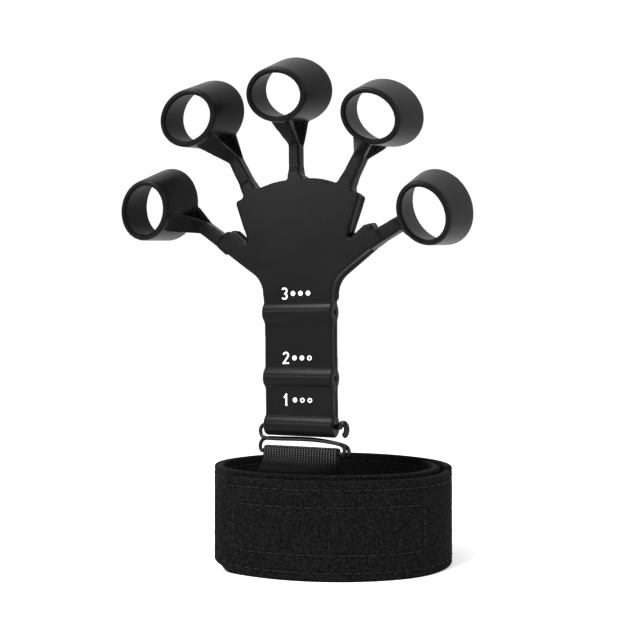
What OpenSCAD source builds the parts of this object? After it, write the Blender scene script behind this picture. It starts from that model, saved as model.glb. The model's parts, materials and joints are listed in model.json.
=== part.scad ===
// Finger exerciser: an elastic silicone hand web with five finger loops, hung on a wire
// buckle that is sewn to a hook-and-loop wrist strap.
// The part stands on the lower edge of its strap. +Z is up and the front faces -Y.

/* [Strap] */
// Width of the strap ring over the outside of its base band
strap_w = 97; // [92:1:104]
// Distance from the strap's middle to the front face of its base band
strap_front = 36; // [35:0.5:38]
// Distance from the strap's middle to the back face of its base band
strap_back = 39; // [37:0.5:41]
// Radius of the strap's two tight end bends
strap_end_r = 32; // [30:0.5:33.5]
// Height of the base band
band_h = 40.5; // [36:0.5:44]
// Height of the closing flap
flap_h = 39; // [34:0.5:42]
// Thickness of the pile cloth on the outside of the band
pile_t = 0.9; // [0.6:0.1:1.2]
// Thickness of the foam inside the band
foam_t = 2.2; // [1.5:0.1:3]
// Thickness of the lining on the inside of the band
lining_t = 0.6; // [0.4:0.1:1]
// Corner radius at the free end of the flap
flap_corner_r = 11; // [3:0.5:12]
// Height of the hook tape
hook_tape_h = 20; // [14:1:26]

// Turn of the strap under the web, in degrees
strap_turn = 16; // [8:1:18]

/* [Webbing tab and buckle] */
// Width of the webbing tab that holds the buckle
tab_w = 33; // [28:0.5:33]
// Thickness of one layer of webbing
tab_t = 1.2; // [0.9:0.1:1.5]
// Height of the buckle's lower bar above the base
bar_z = 48.7; // [48.2:0.1:49]
// Height of the buckle's pin above the base
pin_z = 59.2; // [58.8:0.1:59.6]
// Diameter of the buckle wire
wire_d = 1.6; // [1.4:0.1:2]
// Diameter of the open hook at the end of the pin
hook_d = 2.4; // [1.8:0.1:2.6]

/* [Hand web] */
// Forward lean of the web as it stands, in degrees
web_lean = 1.5; // [0:0.5:10]
// Thickness of the palm
palm_t = 6.5; // [5.5:0.1:7.5]
// Thickness of the neck between its tunnels
neck_t = 5.2; // [4.5:0.1:6]
// Width of the neck
neck_w = 30; // [28:0.5:31]
// Outer diameter of the tunnels across the neck
tunnel_d = 8.8; // [8:0.1:9]
// Height of the second tunnel above the first
second_tunnel = 19.2; // [17:0.2:23]
// Height of the third tunnel above the first
third_tunnel = 45.6; // [42:0.2:45.8]
// How far the back of the moulding stands out past its front half
flange = 0.8; // [0.4:0.1:1]
// Height of the level marks on the neck
mark_h = 5; // [4:0.1:6]

/* [Finger loops] */
// Length of a finger loop along the finger
loop_l = 22; // [18:0.5:23]
// Outer half width of a loop's front rim
front_a = 12; // [11:0.1:13]
// Outer half height of a loop's front rim, along its arm
front_b = 9.9; // [9:0.1:11]
// Outer half width of a loop's back rim
back_a = 15.3; // [14:0.1:16]
// Outer half height of a loop's back rim, along its arm
back_b = 12.6; // [11.5:0.1:13.5]
// Wall thickness of a loop
loop_wall = 2.2; // [1.8:0.1:2.4]

/* [Hidden] */
$fn = 64;

// Middle of the outer box on the floor: the origin goes there
box_mid = [-3.78, -0.34, 0];

band_t = pile_t + foam_t + lining_t;
// Gap between soft faces that slide or lift off one another
slip = 0.3;
hook_tape_t = 0.9;
// The outer turn of the band stands off the inner one by the hook tape and its slip
step = band_t + hook_tape_t + slip;

// The strap ring is an oval of four arcs, two end bends and two long bends.
// The back bend steps out, so that the band passes over its own tucked end.
end_x = strap_w / 2 - strap_end_r;
function long_r(depth) =
    (end_x * end_x + depth * depth - strap_end_r * strap_end_r) / (2 * (depth - strap_end_r));
front_r = long_r(strap_front);
front_y = front_r - strap_front;
front_half = asin(end_x / (front_r - strap_end_r));
back_r = long_r(strap_back);
back_x = step * (2 * (back_r - strap_end_r) - step) / (4 * end_x);
back_y = -sqrt(pow(back_r - strap_end_r, 2) - pow(back_x + end_x, 2));
back_left = atan2(-back_y, -end_x - back_x);
back_right = atan2(-back_y, end_x - back_x);
front_right = front_half - 90;
front_left = 270 - front_half;
// Where the middle of the strap is, from below the neck
strap_mid = [-2.8, 4.7];
// Angles round the end bends: the tucked end, the start of the flap and its free end
tuck_end = back_right - 8;
flap_root = 4;
flap_gap = 0.5;
flap_tip = 225;
tape_right = -44;
tape_left = front_left;

// Webbing and buckle
// Where the neck, the buckle and the tab are, seen from above
web_at = [-2.1, -22];
bore_slip = 0.08;
bore_d = wire_d + 2 * bore_slip;
fold_r = bore_d / 2 + tab_t;
tab_foot = 9;
tab_neck = 46.2;
pin_reach = 15.8;
bar_reach = 16.9;
// How far the pin runs on inside its hook
pin_grip = 0.4;

// The middle of the strap's front arc, seen from above, and the inner face of that wall
front_mid = strap_mid + front_y * [-sin(strap_turn), cos(strap_turn)];
function wall_y(x) =
    front_mid[1] - sqrt(pow(front_r - band_t - slip, 2) - pow(x - front_mid[0], 2));

// Hand web
tunnel_w = neck_w + 0.6;
neck_top = 50.4;
parting_y = 1.2;
root_r = 3.2;
arm_slip = 0.3;
mark_t = 0.25;

// One row a finger: its name, where its arm leaves the palm (across, up and direction), the
// arm's width at the root and the waist, then the middle of its loop (across, forward, up),
// the loop's turn in the plane of the web, its tilt, its swing and its scale
FINGERS = [
    ["thumb",  [-34.2, 75.1, 145], [5.8, 5.4], [-60.5, 10.6,  90.1], [150, 12.5, 3.5, 1.05]],
    ["index",  [-22.6, 97.7, 118], [5.6, 4.8], [-39.5, 10.4, 125.9], [117, 14.5, 4,   1.06]],
    ["middle", [ -0.9, 101.6, 90], [4.8, 4.5], [  0.1, 10.6, 131.3], [ 86, 17,   1.5, 1.02]],
    ["ring",   [ 22.2, 97.5,  61], [5.6, 4.8], [ 37.9,  8.8, 119.3], [ 60, 14.5, 0.5, 0.99]],
    ["little", [ 34.2, 74.5,  27], [5.8, 5.4], [ 58.6,  9.8,  82.2], [ 25, 12.5, -1.5, 0.98]]
];

// Points of the buckle wire, from the pin's left end round to its curled tail,
// measured from the middle of the pin: across, forward and back, up
WIRE_LEFT = [
    [-15, 0, 0], [-16.2, 0, -0.1], [-17.7, 0, -0.6], [-18.6, 0, -2.1], [-18.5, -0.1, -3.6],
    [-17.5, -0.6, -5], [-15, -0.95, -5.6], [-10, -0.95, -5.7], [0, -0.95, -5.5],
    [7, -0.95, -5.6], [13, -0.95, -6.1], [17.2, -0.95, -6.8], [18.8, -0.7, -7.8],
    [19, -0.3, -9.5], [18.1, 0, -10.9], [16.2, 0, -10.5]
];
WIRE_TAIL = [
    [-16.2, 0, -10.5], [-18, 0, -10.9], [-18.9, 0.3, -9.6], [-18.8, 0.6, -7.8],
    [-17.7, 0.9, -6.3], [-15, 0.95, -5.7], [-10, 0.95, -5.6], [0, 0.95, -5.4],
    [7, 0.95, -5.6], [13, 0.95, -6.3], [17.4, 0.95, -7.1], [19.6, 0.9, -8],
    [20.4, 0.9, -9.4], [20.2, 0.9, -11]
];
WIRE_HOOK = [
    [16.5, 0, 0], [17, 0, 0.4], [17.8, 0, 1.3], [18.8, 0, 1.4], [19.6, 0, 0.3],
    [19.8, 0, -1.2], [19.3, 0, -2.8], [18.1, 0, -3.6]
];

silicone = [0.07, 0.07, 0.075];
pile = [0.09, 0.09, 0.1];
foam = [0.16, 0.16, 0.17];
thread = [0.2, 0.2, 0.21];
metal = [0.13, 0.13, 0.14];
ink = [0.93, 0.93, 0.93];

// ---------- Vectors and outlines ----------

function unit(v) = v / norm(v);
function wrap(a) = a > 180 ? a - 360 : a < -180 ? a + 360 : a;

// The arc that rounds the corner at q between p and s
function corner(p, q, s, r, steps = 6) =
    let (a = unit(p - q), b = unit(s - q), half = acos(a * b) / 2,
         mid = q + unit(a + b) * r / sin(half),
         from = q + a * r / tan(half) - mid, to = q + b * r / tan(half) - mid,
         start = atan2(from[1], from[0]), sweep = wrap(atan2(to[1], to[0]) - start))
    [for (i = [0:steps]) mid + r * [cos(start + sweep * i / steps), sin(start + sweep * i / steps)]];

// A closed outline from rows of across, up and corner radius
function rounded(rows) =
    let (n = len(rows))
    [for (i = [0:n - 1])
        let (row = rows[i], p = rows[(i + n - 1) % n], s = rows[(i + 1) % n])
        each row[2] > 0
            ? corner([p[0], p[1]], [row[0], row[1]], [s[0], s[1]], row[2])
            : [[row[0], row[1]]]];

function mirrored(rows) = [for (i = [len(rows) - 1:-1:0]) [-rows[i][0], rows[i][1], rows[i][2]]];

// A smooth curve through points, with a few steps between each pair
function spline_point(a, b, c, d, t) =
    0.5 * (2 * b + (c - a) * t + (2 * a - 5 * b + 4 * c - d) * t * t
        + (3 * b - a - 3 * c + d) * t * t * t);
function spline(p, steps) =
    let (n = len(p))
    [for (i = [0:n - 2], k = [0:steps - 1])
        spline_point(p[max(i - 1, 0)], p[i], p[i + 1], p[min(i + 2, n - 1)], k / steps),
     p[n - 1]];

// A round tube swept along points, closed at both ends
module swept(points, d, sides = 10) {
    n = len(points);
    up = [0.02, 1, 0.01];
    rings = [for (i = [0:n - 1])
        let (dir = unit(points[min(i + 1, n - 1)] - points[max(i - 1, 0)]),
             e1 = unit(cross(dir, up)), e2 = cross(e1, dir))
        [for (k = [0:sides - 1])
            points[i] + d / 2 * (e1 * cos(360 * k / sides) + e2 * sin(360 * k / sides))]];
    polyhedron(
        [for (ring = rings) each ring],
        [for (i = [0:n - 2], k = [0:sides - 1])
            let (a = i * sides + k, b = i * sides + (k + 1) % sides)
            each [[a, b, b + sides], [a, b + sides, a + sides]],
         [for (k = [sides - 1:-1:0]) k],
         [for (k = [0:sides - 1]) (n - 1) * sides + k]]);
}

// ---------- Strap ----------

module on_strap() {
    translate([strap_mid[0], strap_mid[1], 0]) rotate([0, 0, strap_turn]) children();
}

// Points along an arc, both ends included
function arc(centre, r, from, to, steps) =
    [for (i = [0:steps]) let (a = from + (to - from) * i / steps) centre + r * [cos(a), sin(a)]];
function backwards(points) = [for (i = [len(points) - 1:-1:0]) points[i]];

// The line of the base band at a depth inwards from its outer face, from its tucked end
// round the front, the left end and the back, to where the flap begins
function strap_line(d) = concat(
    arc([end_x, 0], strap_end_r - d, tuck_end, front_right, 24),
    arc([0, front_y], front_r - d, front_right + 360, front_left, 20),
    arc([-end_x, 0], strap_end_r - d, front_left, back_left, 24),
    arc([back_x, back_y], back_r - d, back_left, back_right, 24),
    arc([end_x, 0], strap_end_r + step - d, back_right, flap_root, 12));

// The line of the flap at a depth inwards from its outer face, between two angles
function flap_line(d, root = flap_root - flap_gap, tip = flap_tip) = concat(
    arc([end_x, 0], strap_end_r + step - d, root, front_right, 16),
    arc([0, front_y], front_r + step - d, front_right + 360, max(tip, front_left), 20),
    tip < front_left ? arc([-end_x, 0], strap_end_r + step - d, front_left, tip, 8) : []);

// A stretch of band between two lines and two heights
module band(outer, inner, z0, z1) {
    translate([0, 0, z0]) linear_extrude(z1 - z0) polygon(concat(outer, backwards(inner)));
}

module strap_layer(d0, d1) {
    band(strap_line(d0), strap_line(d1), 0, band_h);
}

// Takes the two corners off the free end of the flap
module flap_corners() {
    arm = strap_end_r + step;
    reach = flap_corner_r;
    translate([-end_x, 0, 0]) rotate([0, 0, flap_tip])
        for (side = [0, 1])
            translate([arm - 6, -1, side * flap_h]) mirror([0, 0, side]) rotate([0, 90, 0])
                translate([-reach, 0, 0]) difference() {
                    translate([0, -1, 0]) cube([reach + 1, reach + 2, 9]);
                    translate([0, reach + 1, -1]) cylinder(h = 11, r = reach);
                    translate([-1, reach + 1, -1]) cube([reach + 3, 9, 11]);
                }
}

module flap_layer(d0, d1) {
    difference() {
        band(flap_line(d0), flap_line(d1), 0, flap_h);
        flap_corners();
    }
}

module strap_pile_cloth() color(pile) on_strap() strap_layer(0, pile_t);
module strap_foam_core() color(foam) on_strap() strap_layer(pile_t, pile_t + foam_t);
module strap_lining() color(pile) on_strap() strap_layer(pile_t + foam_t, band_t);
module flap_pile_cloth() color(pile) on_strap() flap_layer(0, pile_t);
module flap_foam_core() color(foam) on_strap() flap_layer(pile_t, pile_t + foam_t);
module flap_lining() color(pile) on_strap() flap_layer(pile_t + foam_t, band_t);

tape_low = (flap_h - hook_tape_h) / 2;
tape_high = tape_low + hook_tape_h;

module flap_hook_tape() {
    color(foam) on_strap() band(flap_line(band_t + seam_gap, tape_right, tape_left),
        flap_line(band_t + hook_tape_t, tape_right, tape_left), tape_low, tape_high);
}

// Seams stand a little out of the cloth
seam_h = 0.6;
seam_out = 0.2;
seam_inset = 3.2;
// Soft faces that lie on each other from different curves keep this much apart
seam_gap = 0.05;

module strap_edge_stitching() {
    color(thread) on_strap() for (z = [seam_inset, band_h - seam_inset - seam_h])
        band(strap_line(band_t), strap_line(band_t + seam_out), z, z + seam_h);
}

module flap_edge_stitching() {
    tip = flap_tip + 8;
    root = flap_root - flap_gap;
    color(thread) on_strap() for (z = [seam_inset, flap_h - seam_inset - seam_h])
        band(flap_line(-seam_out, root, tip), flap_line(0, root, tip), z, z + seam_h);
}

// A frame of stitches round the hook tape, seen on the outside of the flap
module hook_tape_stitching() {
    end_turn = 1.4;
    left_turn = 0.4;
    out = -seam_out;
    color(thread) on_strap() {
        for (z = [tape_low, tape_high - seam_h])
            band(flap_line(out, tape_right, tape_left), flap_line(0, tape_right, tape_left),
                z, z + seam_h);
        band(arc([0, front_y], front_r + step - out, tape_left + left_turn, tape_left, 2),
            arc([0, front_y], front_r + step, tape_left + left_turn, tape_left, 2),
            tape_low, tape_high);
        band(arc([end_x, 0], strap_end_r + step - out, tape_right, tape_right - end_turn, 2),
            arc([end_x, 0], strap_end_r + step, tape_right, tape_right - end_turn, 2),
            tape_low, tape_high);
    }
}

// ---------- Webbing tab and buckle ----------

// The front face of the tab: flat below the fold, then along the strap's wall below its rim
function tab_y(x, z) =
    let (t = min(max((tab_neck - z) / (tab_neck - band_h), 0), 1), ease = t * t * (3 - 2 * t))
    (1 - ease) * (web_at[1] - fold_r) + ease * wall_y(x);

// The hanging part of the tab, a slab two layers thick
module tab_drop(cols = 10, rows = 16) {
    top = tab_neck + 0.3;
    wide = cols + 1;
    front = [for (j = [0:rows], i = [0:cols])
        let (x = web_at[0] + tab_w * (i / cols - 0.5),
             z = j < rows ? top + (band_h - top) * j / (rows - 1) : tab_foot)
        [x, tab_y(x, z), z]];
    n = len(front);
    polyhedron(
        [each front, for (p = front) p + [0, 2 * tab_t, 0]],
        [for (j = [0:rows - 1], i = [0:cols - 1]) let (a = j * wide + i) each
            [[a, a + 1, a + wide + 1], [a, a + wide + 1, a + wide],
             [a + n, a + n + wide + 1, a + n + 1], [a + n, a + n + wide, a + n + wide + 1]],
         for (j = [0:rows - 1]) let (a = j * wide, b = a + cols) each
            [[a + n, a, a + wide], [a + n, a + wide, a + wide + n],
             [b, b + n, b + wide + n], [b, b + wide + n, b + wide]],
         for (i = [0:cols - 1]) let (b = rows * wide + i) each
            [[i, i + n, i + 1 + n], [i, i + 1 + n, i + 1],
             [b, b + 1, b + 1 + n], [b, b + 1 + n, b + n]]]);
}

// A fold of webbing round the buckle's lower bar, hanging inside the strap's front wall
module webbing_tab() {
    front = fold_r;
    back = fold_r - 2 * tab_t;
    color(pile) difference() {
        union() {
            translate([web_at[0] - tab_w / 2, web_at[1], bar_z]) rotate([0, 90, 0])
                cylinder(h = tab_w, r = fold_r);
            translate([web_at[0] + tab_w / 2, web_at[1], 0]) rotate([90, 0, -90])
                linear_extrude(tab_w) polygon([[front, tab_neck], [front, bar_z],
                    [-fold_r, bar_z], [-fold_r, bar_z - 1], [back, tab_neck]]);
            tab_drop();
        }
        translate([web_at[0] - tab_w, web_at[1], bar_z]) rotate([0, 90, 0])
            cylinder(h = 2 * tab_w, d = bore_d);
    }
}

// A seam on the back of the tab, between two places across it and two heights
module tab_seam(x0, x1, z0, z1) {
    steps = 10;
    line = [for (i = [0:steps]) let (x = x0 + (x1 - x0) * i / steps)
        [x, wall_y(x) + 2 * tab_t + seam_gap]];
    translate([0, 0, z0]) linear_extrude(z1 - z0)
        polygon(concat(line, backwards([for (p = line) p + [0, seam_out]])));
}

// Two cross seams and two side seams that sew the tab to the strap
module webbing_stitching() {
    seam_w = 0.7;
    low = 13;
    high = 33;
    left = web_at[0] - tab_w / 2 + 3;
    right = web_at[0] + tab_w / 2 - 3;
    color(thread) {
        for (z = [low, high]) tab_seam(left, right, z, z + seam_w);
        tab_seam(left, left + seam_w, low, high);
        tab_seam(right - seam_w, right, low, high);
    }
}

// One wire: a pin with an open hook, a doubled middle bar and a lower bar
module buckle_wire() {
    thin = wire_d - 0.06;
    color(metal) translate([web_at[0], web_at[1], pin_z]) {
        translate([-pin_reach, 0, 0]) rotate([0, 90, 0])
            cylinder(h = pin_reach + WIRE_HOOK[0][0] + pin_grip, d = wire_d);
        translate([-bar_reach, 0, bar_z - pin_z]) rotate([0, 90, 0])
            cylinder(h = 2 * bar_reach, d = wire_d);
        swept(spline(WIRE_LEFT, 3), thin);
        swept(spline(WIRE_TAIL, 3), thin);
        swept(spline(WIRE_HOOK, 3), hook_d, 12);
    }
}

// ---------- Hand web ----------

module on_web() {
    translate([web_at[0], web_at[1], pin_z]) rotate([web_lean, 0, 0]) children();
}

// An outline across and up the web, made solid between two depths behind its middle
module plate(rows, y0, y1) {
    translate([0, y1, 0]) rotate([90, 0, 0]) linear_extrude(y1 - y0) polygon(rounded(rows));
}

// The right half of the palm's outline, from the neck round to the middle arm
function palm_half(grow) = [
    [neck_w / 2 + grow, neck_top, 0], [15.8 + grow, 58.6 - grow, 10],
    [34.6, 72.2 - grow, 0.6], [31.2, 76.8, 0], [33.1, 78.2, 0.3], [31.9, 79.5 + grow, 0.6],
    [28.9 - grow * 0.4, 79.1 + grow, 1], [21.2 + grow, 72.6 + grow * 2, 0.8],
    [27.6 + grow * 0.4, 91.2 - grow, 1.2], [24.1, 92.7, 1], [24, 94.9, 0.3], [19.1, 97.7, 0.3],
    [18, 96, 1], [9.5, 98.2 + grow, 30], [3.1, 98.8 + grow, 1.4], [2.5, 100.4, 0]
];
function palm_rows(grow) = concat(palm_half(grow), mirrored(palm_half(grow)));

// Places a shape at the root of a finger's arm, with X along the arm
module at_root(f) {
    translate([f[1][0], 0, f[1][1]]) rotate([0, -f[1][2], 0]) children();
}

module palm_web() {
    color(silicone) on_web() difference() {
        union() {
            plate(palm_rows(0), -palm_t / 2, parting_y);
            plate(palm_rows(flange), parting_y, palm_t / 2);
        }
        for (f = FINGERS) at_root(f) translate([0, 0, -f[2][0] / 2 - arm_slip])
            cylinder(h = f[2][0] + 2 * arm_slip, r = root_r + arm_slip);
    }
}

module neck_web() {
    color(silicone) on_web() difference() {
        union() {
            translate([-neck_w / 2, -neck_t / 2, 0]) cube([neck_w, neck_t, neck_top - 3]);
            translate([-neck_w / 2 - flange / 2, 0.6, 0])
                cube([neck_w + flange, neck_t / 2 - 0.6, neck_top - 3]);
            hull() {
                translate([-neck_w / 2, -neck_t / 2, neck_top - 4]) cube([neck_w, neck_t, 1]);
                translate([-neck_w / 2, -palm_t / 2, neck_top - 0.1]) cube([neck_w, palm_t, 0.1]);
            }
            for (v = [0, second_tunnel, third_tunnel])
                translate([-tunnel_w / 2, 0, v]) rotate([0, 90, 0])
                    cylinder(h = tunnel_w, d = tunnel_d);
        }
        for (v = [0, second_tunnel, third_tunnel])
            translate([-neck_w, 0, v]) rotate([0, 90, 0]) cylinder(h = 2 * neck_w, d = bore_d);
    }
}

// ---------- Level marks ----------

// A numeral is drawn with straight strokes and bows, on a grid as wide as half its height
module stroke(x0, y0, x1, y1) {
    w = mark_h * 0.12;
    run = norm([x1 - x0, y1 - y0]);
    translate([x0, y0, 0]) rotate([0, 0, atan2(y1 - y0, x1 - x0)])
        translate([-w / 2, -w / 2, 0]) cube([run + w, w, mark_t]);
}

module bow(x, y, r, from, to) {
    w = mark_h * 0.12;
    translate([x, y, 0]) rotate([0, 0, from])
        rotate_extrude(angle = to - from) translate([r - w / 2, 0]) square([w, mark_t]);
}

module numeral(n) {
    r = mark_h * 0.21;
    low = mark_h * 0.075;
    top = mark_h - low;
    if (n == 1) {
        stroke(r, low, r, top);
        stroke(0.25 * r, top - r, r, top);
    }
    if (n == 2) {
        bow(r, top - r, r, -30, 165);
        stroke(r + r * cos(30), top - r - r / 2, 0, low);
        stroke(0, low, 2 * r, low);
    }
    if (n == 3) {
        bow(r, top - r, r, -90, 150);
        bow(r, low + r, r, -150, 90);
    }
}

// A numeral and three round pips, as many of them solid as the level, at a height up the web
module level_mark(n, v, web_t) {
    gap = mark_h * 0.66;
    pip = mark_h * 0.19;
    wide = mark_h * 0.55 + 3 * gap;
    color(ink) on_web() translate([-wide / 2, -web_t / 2, v - mark_h / 2]) rotate([90, 0, 0]) {
        numeral(n);
        for (i = [1:3]) translate([mark_h * 0.32 + i * gap, mark_h / 2, 0]) difference() {
            cylinder(h = mark_t, r = pip);
            if (i > n) translate([0, 0, -1]) cylinder(h = mark_t + 2, r = pip - mark_h * 0.08);
        }
    }
}

module level_mark_1() level_mark(1, 10.5, neck_t);
module level_mark_2() level_mark(2, 27.4, neck_t);
module level_mark_3() level_mark(3, 53.2, palm_t);

// ---------- Finger loops and arms ----------

// Places a shape in a finger's loop: X away from the palm, Y to the back, Z across the arm
module at_loop(f) {
    translate([f[3][0], -f[3][1], f[3][2]]) rotate([0, 0, f[4][2]]) rotate([f[4][1], 0, 0])
        rotate([0, -f[4][0], 0]) scale(f[4][3]) children();
}

// How far the outside of a loop is from its axis, in one direction round it
function loop_reach(y, front, back) = front + (back - front) * (y / loop_l + 0.5);

// A closed skin over a profile of [along, in or out], carried round the oval of a loop
module oval_skin(profile, sides = 36) {
    n = len(profile);
    points = [for (k = [0:sides - 1], p = profile)
        let (turn = 360 * k / sides)
        [(loop_reach(p[0], front_b, back_b) + p[1]) * cos(turn), p[0],
         (loop_reach(p[0], front_a, back_a) + p[1]) * sin(turn)]];
    polyhedron(points,
        [for (k = [0:sides - 1], i = [0:n - 1])
            let (a = k * n + i, b = k * n + (i + 1) % n, step = ((k + 1) % sides - k) * n)
            each [[a, b, b + step], [a, b + step, a + step]]]);
}

// The tube of a loop, with round lips
module finger_loop(f) {
    lip = loop_wall / 2;
    half = loop_l / 2 - lip;
    profile = [
        for (a = [90:30:270]) [-half + lip * cos(a), -lip + lip * sin(a)],
        for (a = [270:30:450]) [half + lip * cos(a), -lip + lip * sin(a)]];
    color(silicone) on_web() at_loop(f) oval_skin(profile);
}

// The whole oval body of a loop with its hole filled, a little oversize
module loop_body(grow) {
    ends = loop_l / 2 + 1;
    sides = 36;
    points = [for (y = [-ends, ends], k = [0:sides - 1])
        [(loop_reach(y, front_b, back_b) + grow) * cos(360 * k / sides), y,
         (loop_reach(y, front_a, back_a) + grow) * sin(360 * k / sides)]];
    polyhedron(points, [
        [for (k = [sides - 1:-1:0]) k],
        [for (k = [0:sides - 1]) sides + k],
        for (k = [0:sides - 1]) let (j = (k + 1) % sides) each
            [[k, j, sides + j], [k, sides + j, sides + k]]]);
}

// A block inside the palm side of a loop's wall, from one depth to another
module loop_pad(y0, y1, w) {
    near = -loop_reach((y0 + y1) / 2, front_b, back_b);
    translate([near - 0.2, y0, -w / 2]) cube([1.8, y1 - y0, w]);
}

// A soft arm: a round root, a plain stretch to its waist, then two flanges and a thin rib
// that spread to the front and back of the loop
module finger_arm(f) {
    root_w = f[2][0];
    waist_w = f[2][1];
    waist = norm([f[3][0] - f[1][0], f[3][2] - f[1][1]]) * 0.37;
    end = loop_l / 2;
    color(silicone) on_web() difference() {
        union() {
            at_root(f) translate([0, 0, -root_w / 2]) cylinder(h = root_w, r = root_r);
            hull() {
                at_root(f) translate([0, -2.6, -root_w / 2]) cube([0.5, 5.2, root_w]);
                at_root(f) translate([waist, -2.9, -waist_w / 2]) cube([0.5, 5.8, waist_w]);
            }
            hull() {
                at_root(f) translate([waist, -2.9, -waist_w / 2]) cube([0.5, 2.2, waist_w]);
                at_loop(f) loop_pad(-end + 3.5, -end + 6.5, waist_w + 3);
            }
            hull() {
                at_root(f) translate([waist, 1.6, -waist_w / 2]) cube([0.5, 1.3, waist_w]);
                at_loop(f) loop_pad(end - 3, end - 0.8, waist_w + 5.5);
            }
            hull() {
                at_root(f) translate([waist, -2, -1.1]) cube([0.5, 4, 2.2]);
                at_loop(f) loop_pad(-end + 5, end - 2, 2.2);
            }
        }
        at_loop(f) loop_body(arm_slip);
    }
}

module thumb_arm() finger_arm(FINGERS[0]);
module index_arm() finger_arm(FINGERS[1]);
module middle_arm() finger_arm(FINGERS[2]);
module ring_arm() finger_arm(FINGERS[3]);
module little_arm() finger_arm(FINGERS[4]);
module thumb_loop() finger_loop(FINGERS[0]);
module index_loop() finger_loop(FINGERS[1]);
module middle_loop() finger_loop(FINGERS[2]);
module ring_loop() finger_loop(FINGERS[3]);
module little_loop() finger_loop(FINGERS[4]);

translate(-box_mid) strap_pile_cloth();
translate(-box_mid) strap_foam_core();
translate(-box_mid) strap_lining();
translate(-box_mid) strap_edge_stitching();
translate(-box_mid) flap_pile_cloth();
translate(-box_mid) flap_foam_core();
translate(-box_mid) flap_lining();
translate(-box_mid) flap_hook_tape();
translate(-box_mid) flap_edge_stitching();
translate(-box_mid) hook_tape_stitching();
translate(-box_mid) webbing_tab();
translate(-box_mid) webbing_stitching();
translate(-box_mid) buckle_wire();
translate(-box_mid) palm_web();
translate(-box_mid) neck_web();
translate(-box_mid) level_mark_1();
translate(-box_mid) level_mark_2();
translate(-box_mid) level_mark_3();
translate(-box_mid) thumb_arm();
translate(-box_mid) index_arm();
translate(-box_mid) middle_arm();
translate(-box_mid) ring_arm();
translate(-box_mid) little_arm();
translate(-box_mid) thumb_loop();
translate(-box_mid) index_loop();
translate(-box_mid) middle_loop();
translate(-box_mid) ring_loop();
translate(-box_mid) little_loop();
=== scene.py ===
"""The looks of the finger exerciser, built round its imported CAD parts.

Metres, in the CAD's own frame: +Z is up and the front faces -Y.
"""
import json
import math

import bmesh
import bpy
import numpy as np
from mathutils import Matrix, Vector


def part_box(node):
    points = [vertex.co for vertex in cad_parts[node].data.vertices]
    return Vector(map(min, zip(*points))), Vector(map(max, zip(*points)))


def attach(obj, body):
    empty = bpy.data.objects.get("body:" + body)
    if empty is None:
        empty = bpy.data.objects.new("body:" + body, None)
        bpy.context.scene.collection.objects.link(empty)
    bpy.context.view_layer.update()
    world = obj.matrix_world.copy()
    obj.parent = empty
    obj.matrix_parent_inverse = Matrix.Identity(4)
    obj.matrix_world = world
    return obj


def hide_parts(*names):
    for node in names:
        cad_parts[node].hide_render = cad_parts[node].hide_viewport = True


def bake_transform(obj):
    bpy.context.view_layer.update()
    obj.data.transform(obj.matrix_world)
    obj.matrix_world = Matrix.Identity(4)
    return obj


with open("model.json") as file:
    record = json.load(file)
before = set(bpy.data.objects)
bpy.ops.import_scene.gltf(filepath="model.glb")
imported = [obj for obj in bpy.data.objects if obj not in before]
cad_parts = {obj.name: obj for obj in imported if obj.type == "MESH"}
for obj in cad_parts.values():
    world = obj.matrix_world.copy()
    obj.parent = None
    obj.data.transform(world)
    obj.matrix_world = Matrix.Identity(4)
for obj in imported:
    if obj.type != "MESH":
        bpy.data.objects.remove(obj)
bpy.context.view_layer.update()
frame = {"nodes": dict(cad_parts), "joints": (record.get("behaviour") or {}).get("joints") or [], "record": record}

MM = 0.001
JOINTS = {j["name"]: j for j in frame["joints"]}
MOUNTS = {m["name"]: m for m in frame["record"]["mounts"]}
FINGERS = ("thumb", "index", "middle", "ring", "little")
rng = np.random.default_rng(11)


def joint_at(name):
    return np.array(JOINTS[name]["pos_m"])


def mount_at(name):
    return np.array(MOUNTS[name]["pos_m"])


def unit(v):
    return np.asarray(v, float) / np.linalg.norm(v)


def smooth_step(t):
    t = np.clip(t, 0, 1)
    return t * t * (3 - 2 * t)


# ---------- Meshes ----------


def add_mesh(name, points, faces, material, sharp=50):
    """A new object with outward faces. Edges sharper than an angle in degrees stay crisp."""
    mesh = bpy.data.meshes.new(name)
    mesh.from_pydata(np.asarray(points, float).tolist(), [], faces)
    bm = bmesh.new()
    bm.from_mesh(mesh)
    bmesh.ops.recalc_face_normals(bm, faces=bm.faces)
    bm.to_mesh(mesh)
    bm.free()
    mesh.polygons.foreach_set("use_smooth", [True] * len(mesh.polygons))
    mesh.set_sharp_from_angle(angle=math.radians(sharp))
    mesh.materials.append(material)
    obj = bpy.data.objects.new(name, mesh)
    bpy.context.scene.collection.objects.link(obj)
    return obj


def ring_faces(rings, sides, first=0):
    """Faces of a closed tube of rings, each of that many points, with flat ends."""
    faces = []
    for i in range(rings - 1):
        a = first + i * sides
        for k in range(sides):
            j = (k + 1) % sides
            faces.append((a + k, a + j, a + sides + j, a + sides + k))
    last = first + (rings - 1) * sides
    faces.append([first + k for k in range(sides)][::-1])
    faces.append([last + k for k in range(sides)])
    return faces


def joined_tubes(tubes):
    """Points and faces of many tubes, each an array of rings x sides x 3."""
    points, faces, first = [], [], 0
    for tube in tubes:
        rings, sides, _ = tube.shape
        faces += ring_faces(rings, sides, first)
        points.append(tube.reshape(-1, 3))
        first += rings * sides
    return np.concatenate(points), faces


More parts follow.
